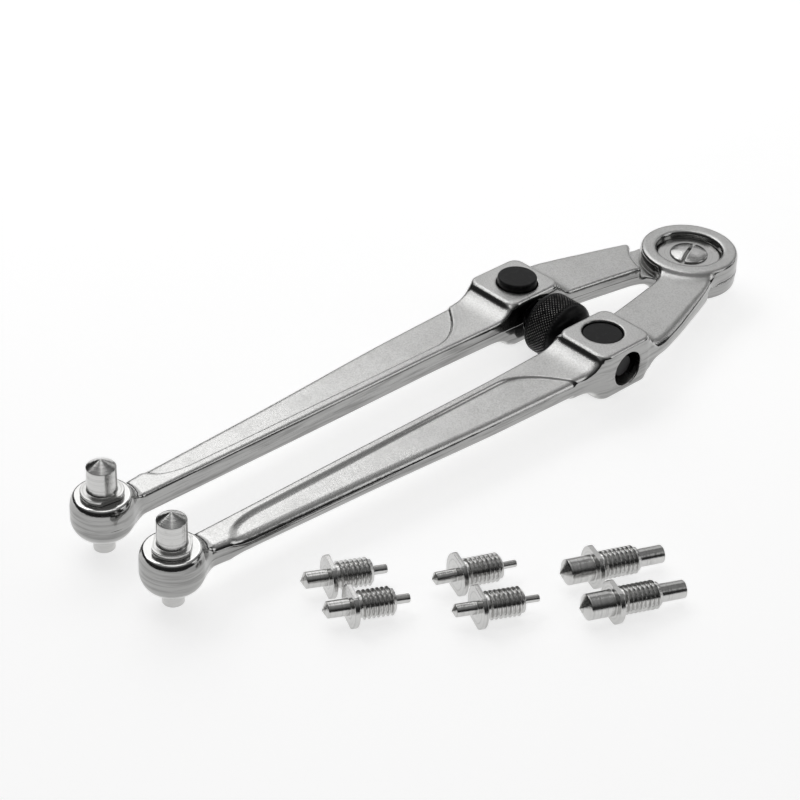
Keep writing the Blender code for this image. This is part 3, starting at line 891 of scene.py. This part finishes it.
# ---- pivot fastening -------------------------------------------------------------------
@dataclass
class PivotFastening:
    """Slotted screw, slotted nut, two washers and a shim."""

    head_r: float = 5.9
    shank_r: float = 3.5
    under_head: float = 2.95
    rim: float = 0.4
    dome: float = 1.35
    screw_end: float = 4.65
    slot_half: float = 0.52
    slot_depth: float = 2.3
    slot_turn: float = 22.0
    nut_low: float = 4.95
    washer_r: float = 9.6
    washer_in: float = 3.65
    washer_low: float = 2.15
    washer_t: float = 0.7
    shim_half: float = 0.35
    shim_r: float = 9.2
    step: float = 0.15

    def slot(self, x: Array, y: Array) -> Array:
        """Distance to the middle plane of the screwdriver slot, less its half width."""
        a = math.radians(self.slot_turn)
        return np.abs(-math.sin(a) * x + math.cos(a) * y) - self.slot_half

    def screw(self, x: Array, y: Array, z: Array) -> Array:
        """Domed head on a plain shank: the dome is a sphere through rim and crown.

        Args:
            x: places along the tool.
            y: places across it.
            z: heights above the mid plane.

        Returns:
            The distance, negative inside.
        """
        r = np.hypot(x, y)
        rim_z, crown = self.under_head + self.rim, self.under_head + self.rim + self.dome
        ball_r = (self.head_r ** 2 + self.dome ** 2) / (2 * self.dome)
        ball = np.sqrt(r * r + (z - crown + ball_r) ** 2) - ball_r
        head = meet(meet(r - self.head_r, ball, 0.35), self.under_head - z, 0.1)
        shank = np.maximum(np.maximum(r - self.shank_r, -z - self.screw_end), z - rim_z)
        slot = np.maximum(self.slot(x, y), crown - self.slot_depth - z)
        return cut(np.minimum(head, shank), slot, 0.12)

    def nut(self, x: Array, y: Array, z: Array) -> Array:
        """Round nut with a slot across its lower face.

        Args:
            x: places along the tool.
            y: places across it.
            z: heights above the mid plane.

        Returns:
            The distance, negative inside.
        """
        r = np.hypot(x, y)
        disc = meet(r - self.head_r, -z - self.nut_low, 0.4)
        disc = meet(disc, z + self.under_head, 0.1)
        disc = cut(disc, r - self.shank_r - 0.1, 0.1)
        return cut(disc, np.maximum(self.slot(x, y), z + self.nut_low - 0.8), 0.12)

    def washer(self, low: float, high: float, outer: float) -> Shape:
        """Flat ring with softened edges.

        Args:
            low: height of its lower face.
            high: height of its upper face.
            outer: its outer radius.

        Returns:
            The ring.
        """
        z, r = rounded_profile(((low, self.washer_in, 0.1), (low, outer, 0.18),
                                (high, outer, 0.18), (high, self.washer_in, 0.1)), closed=True)
        return turned(z, r, hollow=True, sides=144)

    def build(self, finish: bpy.types.Material) -> None:
        """Make the five pieces.

        Args:
            finish: their material.
        """
        reach = self.head_r + 0.5
        top = self.under_head + self.rim + self.dome + 0.4
        parts = (("slotted_pivot_screw", self.screw, -self.screw_end - 0.4, top, "pivot_screw"),
                 ("slotted_pivot_nut", self.nut, -self.nut_low - 0.4, -self.under_head + 0.4,
                  "pivot_nut"))
        for name, formula, low, high, node in parts:
            shape = surface_net(formula, (-reach, -reach, low), (reach, reach, high), self.step)
            shape.marks["lathe"] = np.hypot(shape.verts[:, 0], shape.verts[:, 1])
            shape.build(name, "near_arm", Slot.STEEL, finish, node)
        high = self.washer_low + self.washer_t
        upper = self.washer(self.washer_low, high, self.washer_r)
        upper.build("seat_washer_top", "near_arm", Slot.STEEL, finish, "pivot_washer_top")
        upper.turned_over().build("seat_washer_bottom", "near_arm", Slot.STEEL, finish,
                                  "pivot_washer_bottom")
        self.washer(-self.shim_half, self.shim_half, self.shim_r).build(
            "lap_shim", "near_arm", Slot.STEEL, finish, "pivot_shim")


# ---- barrel nuts, spindle and wheel ----------------------------------------------------
@dataclass
class AdjustingDrive:
    """Two barrel nuts, the double-handed spindle and the knurled wheel on it."""

    barrel_r: float = 5.95
    barrel_low: float = -9.7
    barrel_high: float = 6.85
    nut_bore: float = 4.0
    spindle_r: float = 3.85
    spindle_half: float = 26.2
    pitch: float = 1.25
    thread_depth: float = 0.72
    wheel_r: float = 9.6
    wheel_half: float = 6.5
    hub_r: float = 5.2
    knurl_half: float = 3.4
    knurls: int = 56
    knurl_rise: float = 1.15
    knurl_depth: float = 0.46
    grub_r: float = 1.5

    def barrel(self, x: Array, y: Array, z: Array) -> Array:
        """Upright cylinder with softened ends and a cross hole along Y.

        Args:
            x: places along the tool.
            y: places across it.
            z: heights above the mid plane.

        Returns:
            The distance, negative inside.
        """
        middle, half = (0.5 * (self.barrel_high + self.barrel_low),
                        0.5 * (self.barrel_high - self.barrel_low))
        body = meet(np.hypot(x, y) - self.barrel_r, np.abs(z - middle) - half, 0.5)
        return cut(body, np.hypot(x, z) - self.nut_bore, 0.2)

    def spindle(self) -> Shape:
        """Rod about Z with threads of opposite hands from its middle to its two ends.

        Returns:
            The rod.
        """
        n = int(self.spindle_half / (self.pitch / 10))
        inner = np.linspace(-self.spindle_half + 0.7, self.spindle_half - 0.7, 2 * n)
        z = np.concatenate([[-self.spindle_half], inner, [self.spindle_half]])
        r = np.full(len(z), self.spindle_r)
        r[[0, -1]] -= 0.7

        def cut_threads(a: Array, length: Array, radius: Array) -> Array:
            """The lower of the two threads' radii."""
            right = thread(a, length, radius, 8.5, self.spindle_half, self.pitch,
                           self.thread_depth, Hand.RIGHT)
            left = thread(a, length, radius, -self.spindle_half, -8.5, self.pitch,
                          self.thread_depth, Hand.LEFT)
            return np.minimum(right, left)
        return turned(z, r, tweak=cut_threads, sides=72)

    def wheel(self) -> Shape:
        """Knurled wheel: two sets of helical grooves crossed at equal angles.

        Each set is a triangle wave of knurls * angle / full turn plus or minus
        length / rise; the lower of the two waves leaves four-sided points.

        Returns:
            The wheel about Z, with its points marked crest, for the worn steel and painted
            glints of its finish.
        """
        bend = np.linspace(0.0, math.pi / 2, 13)
        side_z = self.knurl_half + (self.wheel_half - self.knurl_half) * np.sin(bend)
        side_r = self.wheel_r - (self.wheel_r - self.hub_r) * (1 - np.cos(bend))
        grip = np.linspace(-self.knurl_half, self.knurl_half, 91)[1:-1]
        z = np.concatenate([[-self.wheel_half], -side_z[::-1], grip, side_z,
                            [self.wheel_half]])
        r = np.concatenate([[self.nut_bore + 0.05], side_r[::-1],
                            np.full(len(grip), self.wheel_r), side_r, [self.nut_bore + 0.05]])

        def knurl(a: Array, length: Array, radius: Array) -> Array:
            """The radius, less the grooves within the gripping band."""
            turns = self.knurls * a / (2 * math.pi)
            waves = [1 - np.abs(2 * ((turns + s * length / self.knurl_rise) % 1.0) - 1)
                     for s in (1.0, -1.0)]
            point = np.clip(np.minimum(*waves) / 0.62, 0.0, 1.0)
            zone = smooth((self.knurl_half + 1.1 - np.abs(length)) / 0.9)
            return radius - self.knurl_depth * (1.0 - point) * zone
        shape = turned(z, r, hollow=True, tweak=knurl, sides=self.knurls * 8)
        away = np.hypot(shape.verts[:, 0], shape.verts[:, 1])
        # crest mark: knurl points, where the finish paints worn steel and glints
        shape.marks["crest"] = smooth((away - self.wheel_r + 0.3) / 0.3)
        return shape

    def build(self, finish: bpy.types.Material) -> None:
        """Make barrel nuts, spindle, wheel and its locking screw.

        Args:
            finish: their material.
        """
        reach = self.barrel_r + 0.8
        barrel = surface_net(self.barrel, (-reach, -reach, self.barrel_low - 0.8),
                             (reach, reach, self.barrel_high + 0.8), 0.27)
        for name, body, node, side in (("barrel_nut_near", "near_barrel", "trunnion_near", 1),
                                       ("barrel_nut_far", "far_barrel", "trunnion_far", -1)):
            piece = barrel if side > 0 else barrel.turned_over()
            piece.moved(np.eye(3), (BARREL_X, side * BARREL_Y, 0.0)).build(
                name, body, Slot.BLACK, finish, node)
        lay_along_y = np.array(((1.0, 0.0, 0.0), (0.0, 0.0, 1.0), (0.0, -1.0, 0.0)))
        for name, body, node, shape in (
                ("threaded_spindle", "spindle_body", "spindle", self.spindle()),
                ("knurled_wheel", "wheel_body", "adjusting_wheel", self.wheel())):
            shape.moved(lay_along_y, (BARREL_X, 0.0, 0.0)).build(name, body, Slot.BLACK,
                                                                finish, node)
        z, r = rounded_profile(((-self.wheel_r + 0.8, 0.9, 0.0), (-self.wheel_r + 0.8,
                                self.grub_r, 0.2), (-self.spindle_r - 0.8, self.grub_r, 0.2),
                                (-self.spindle_r - 0.2, 0.8, 0.0)))
        turned(z, r, sides=40).moved(np.eye(3), (BARREL_X, 0.0, 0.0)).build(
            "wheel_locking_screw", "wheel_body", Slot.BLACK, finish, "wheel_grub_screw")


# ---- pins ------------------------------------------------------------------------------
@dataclass
class Pin:
    """A pin with a coned end, a collar with two flats, a thread and a thinner end."""

    node: str
    body: str
    big_r: float
    big_len: float
    thread_len: float
    small_r: float
    small_len: float
    turn: float = 0.0
    collar_r: float = 5.8
    collar_flat: float = 4.9
    collar_t: float = 1.4
    thread_r: float = 3.9
    undercut: float = 1.0
    pitch: float = 1.25
    thread_depth: float = 0.70

    def profile(self) -> tuple[Array, Array]:
        """The pin's outline, from the small end's face to the tip of the cone.

        Returns:
            The places and radii along it.
        """
        core = self.thread_r - 0.65
        end, cone = -self.thread_len - self.small_len, 0.6 * self.big_r
        lower = rounded_profile(((end, 0.35 * self.small_r, 0.0), (end, self.small_r, 0.3),
                                 (-self.thread_len, self.small_r, 0.12),
                                 (-self.thread_len, self.thread_r - 0.75, 0.1),
                                 (-self.thread_len + 0.75, self.thread_r, 0.0)))
        turns = np.arange(-self.thread_len + 0.8, -self.undercut - 0.6, self.pitch / 11)
        upper = rounded_profile(((-self.undercut - 0.55, self.thread_r, 0.0),
                                 (-self.undercut, core, 0.1), (0.0, core, 0.1),
                                 (0.0, self.collar_r, 0.22), (self.collar_t, self.collar_r, 0.3),
                                 (self.collar_t, self.big_r, 0.2),
                                 (self.collar_t + self.big_len, self.big_r, 0.16),
                                 (self.collar_t + self.big_len + 0.93 * cone,
                                  0.07 * self.big_r, 0.0),
                                 (self.collar_t + self.big_len + 0.975 * cone,
                                  0.02 * self.big_r, 0.0)))
        z = np.concatenate([lower[0], turns, upper[0]])
        r = np.concatenate([lower[1], np.full(len(turns), self.thread_r), upper[1]])
        return z, r

    def shape(self) -> Shape:
        """The pin about Z, with its collar's lower face at zero.

        Returns:
            The pin.
        """
        def cut_in(a: Array, length: Array, radius: Array) -> Array:
            """Two flats on the collar and the thread below it."""
            flat = self.collar_flat / np.maximum(np.abs(np.cos(a)), 1e-6)
            held = np.where(length > -0.05, np.minimum(radius, flat), radius)
            return thread(a, length, held, -self.thread_len + 0.1, -self.undercut,
                          self.pitch, self.thread_depth, Hand.RIGHT)
        z, r = self.profile()
        return turned(z, r, tweak=cut_in, sides=96)

    def pose(self) -> tuple[Array, Array]:
        """Rotation and place of the pin, from the CAD node's own points.

        The axis is the direction in which the points spread most, pointing to +X or +Z,
        and the place follows from how far they reach along it.

        Returns:
            The rotation matrix and the place of the collar's lower face.
        """
        mesh = frame["nodes"][self.node].data
        points = np.empty(len(mesh.vertices) * 3)
        mesh.vertices.foreach_get("co", points)
        points = points.reshape(-1, 3) / MM - (0.0, 0.0, MID_Z)
        points = np.unique(points.round(4), axis=0)
        middle = points.mean(0)
        axis = np.linalg.svd(points - middle, full_matrices=False)[2][0]
        axis *= math.copysign(1.0, axis[0] if abs(axis[2]) < 0.7 else axis[2])
        side = np.array((0.0, 0.0, -1.0)) if abs(axis[2]) < 0.7 else np.array((1.0, 0.0, 0.0))
        flat = side - axis * (side @ axis)
        flat /= np.linalg.norm(flat)
        spread = (points - middle) @ np.column_stack([flat, np.cross(axis, flat)])
        centre = middle + np.column_stack([flat, np.cross(axis, flat)]) @ (
            0.5 * (spread.max(0) + spread.min(0)))
        lowest = ((points - centre) @ axis).min()
        turn = math.radians(self.turn)
        x_axis = math.cos(turn) * flat + math.sin(turn) * np.cross(axis, flat)
        matrix = np.column_stack([x_axis, np.cross(axis, x_axis), axis])
        start = centre + axis * (lowest + self.thread_len + self.small_len)
        return matrix, start

    def build(self, finish: bpy.types.Material) -> None:
        """Make the pin in its place.

        Args:
            finish: its material.
        """
        matrix, start = self.pose()
        self.shape().moved(matrix, start).build(self.node + "_turned", self.body, Slot.STEEL,
                                                finish, self.node)


def pin_set() -> list[Pin]:
    """List the two fitted pins and the three loose pairs.

    Returns:
        The eight pins.
    """
    pins = [Pin("pin_near", "near_pin", 4.0, 7.3, 12.9, 3.0, 4.7, turn=-45.0),
            Pin("pin_far", "far_pin", 4.0, 7.3, 12.9, 3.0, 4.7, turn=82.0)]
    sizes = {"a": (2.25, 5.8, 10.6, 1.25, 4.4), "b": (1.75, 5.6, 11.2, 1.0, 4.8),
             "c": (3.5, 7.0, 12.0, 2.5, 7.6)}
    for pair, size in sizes.items():
        for number in (1, 2):
            node = f"loose_pin_{pair}{number}"
            pins.append(Pin(node, node + "_body", *size))
    return pins


# ---- studio ----------------------------------------------------------------------------
@dataclass
class Studio:
    """Camera, floor and soft lights round the object."""

    place: tuple[float, float, float] = (489.4, 368.2, 362.8)
    heading: float = -135.07
    dip: float = 34.99
    roll: float = 2.98
    lens: float = 101.53
    shift: tuple[float, float] = (-0.0095, 0.0117)
    floor_size: float = 6.0

    def camera(self) -> None:
        """Set the camera from its place, heading, dip and roll."""
        heading, dip, roll = (math.radians(v) for v in (self.heading, self.dip, self.roll))
        ahead = np.array((math.cos(heading) * math.cos(dip),
                          math.sin(heading) * math.cos(dip), -math.sin(dip)))
        right = np.cross(ahead, (0.0, 0.0, 1.0))
        right /= np.linalg.norm(right)
        up = np.cross(right, ahead)
        c, s = math.cos(roll), math.sin(roll)
        columns = np.column_stack([c * right + s * up, -s * right + c * up, -ahead,
                                   np.add(self.place, (0.0, 0.0, MID_Z)) * MM])
        data = bpy.data.cameras.new("studio_camera")
        data.lens, data.sensor_width = self.lens, 36.0
        data.shift_x, data.shift_y = self.shift
        data.clip_start, data.clip_end = 0.01, 20.0
        camera = bpy.data.objects.new("studio_camera", data)
        bpy.context.scene.collection.objects.link(camera)
        camera.matrix_world = Matrix(np.vstack([columns, (0.0, 0.0, 0.0, 1.0)]).tolist())
        bpy.context.scene.camera = camera

    def floor(self) -> None:
        """A wide pale floor under the lowest point of the object."""
        half, z = 0.5 * self.floor_size, CAD_BOX[0][2] - 0.0001
        mesh = bpy.data.meshes.new("studio_floor")
        mesh.from_pydata([(-half, -half, z), (half, -half, z), (half, half, z),
                          (-half, half, z)], [], [(0, 1, 2, 3)])
        mesh.materials.append(StudioFloor().material())
        floor = bpy.data.objects.new("studio_floor", mesh)
        bpy.context.scene.collection.objects.link(floor)

    def softbox(self, name: str, place: Sequence[float], aim: Sequence[float],
                size: tuple[float, float], glow: float) -> None:
        """An area light at a place, turned towards its aim.

        A rectangle of area A that looks as bright as glow gives off pi * A * glow watts.

        Args:
            name: the light's name.
            place: its centre, in metres.
            aim: the point that it faces.
            size: its two sides, in metres.
            glow: its radiance.
        """
        data = bpy.data.lights.new(name, "AREA")
        data.shape, data.size, data.size_y = "RECTANGLE", *size
        data.energy = math.pi * size[0] * size[1] * glow
        light = bpy.data.objects.new(name, data)
        bpy.context.scene.collection.objects.link(light)
        back = np.subtract(place, aim)
        back /= np.linalg.norm(back)
        side = np.cross((0.0, 0.0, 1.0), back) if abs(back[2]) < 0.99 else np.array((1., 0., 0.))
        side /= np.linalg.norm(side)
        columns = np.column_stack([side, np.cross(back, side), back, place])
        light.matrix_world = Matrix(np.vstack([columns, (0.0, 0.0, 0.0, 1.0)]).tolist())

    def world(self) -> None:
        """Grey surroundings, dark at the horizon and pale overhead."""
        world = bpy.data.worlds.new("studio_world")
        world.use_nodes = True
        tree = world.node_tree
        background = tree.nodes["Background"]
        where = tree.nodes.new("ShaderNodeTexCoord")
        parts = tree.nodes.new("ShaderNodeSeparateXYZ")
        ramp = tree.nodes.new("ShaderNodeValToRGB")
        tree.links.new(where.outputs["Generated"], parts.inputs["Vector"])
        tree.links.new(parts.outputs["Z"], ramp.inputs["Fac"])
        tree.links.new(ramp.outputs["Color"], background.inputs["Color"])
        stops = ramp.color_ramp.elements
        stops[0].position, stops[0].color = 0.0, (0.015, 0.015, 0.015, 1.0)
        stops[1].position, stops[1].color = 1.0, (0.35, 0.35, 0.35, 1.0)
        middle = stops.new(0.45)
        middle.color = (0.03, 0.03, 0.03, 1.0)
        background.inputs["Strength"].default_value = 1.0
        bpy.context.scene.world = world

    def build(self) -> None:
        """Set up the whole studio."""
        self.camera()
        self.floor()
        self.world()
        centre = (0.10, 0.02, 0.0)
        for name, place, size, glow in (
                ("back_softbox", (-0.10, -0.52, 0.52), (0.45, 0.60), 1.25),
                ("far_softbox", (-0.58, -0.38, 0.46), (0.60, 0.60), 0.60),
                ("overhead_softbox", (0.10, -0.05, 0.95), (0.50, 0.50), 1.00),
                ("left_softbox", (0.26, -0.50, 0.68), (0.40, 0.34), 1.60),
                ("low_softbox", (-0.80, 0.17, 0.24), (0.42, 0.26), 0.75),
                ("edge_softbox", (-0.41, 0.65, 0.12), (0.20, 0.16), 0.80),
                ("right_softbox", (-0.42, 0.62, 0.40), (0.40, 0.30), 1.00)):
            self.softbox(name, place, centre, size, glow)
        bpy.context.scene.view_settings.view_transform = "Standard"


def write_sizes() -> None:
    """Bring the view layer up to date."""
    bpy.context.view_layer.update()


def main() -> None:
    """Build the wrench, its pins and the studio, in order."""
    logging.basicConfig(level=logging.INFO, format="%(name)s: %(message)s")
    steel, black = TurnedSteel().material(), BlackOxide().material()
    ForgedArm().build(SatinForging().material())
    PivotFastening().build(steel)
    AdjustingDrive().build(black)
    for pin in pin_set():
        pin.build(steel)
    Studio().build()
    write_sizes()


if __name__ == "__main__":
    main()
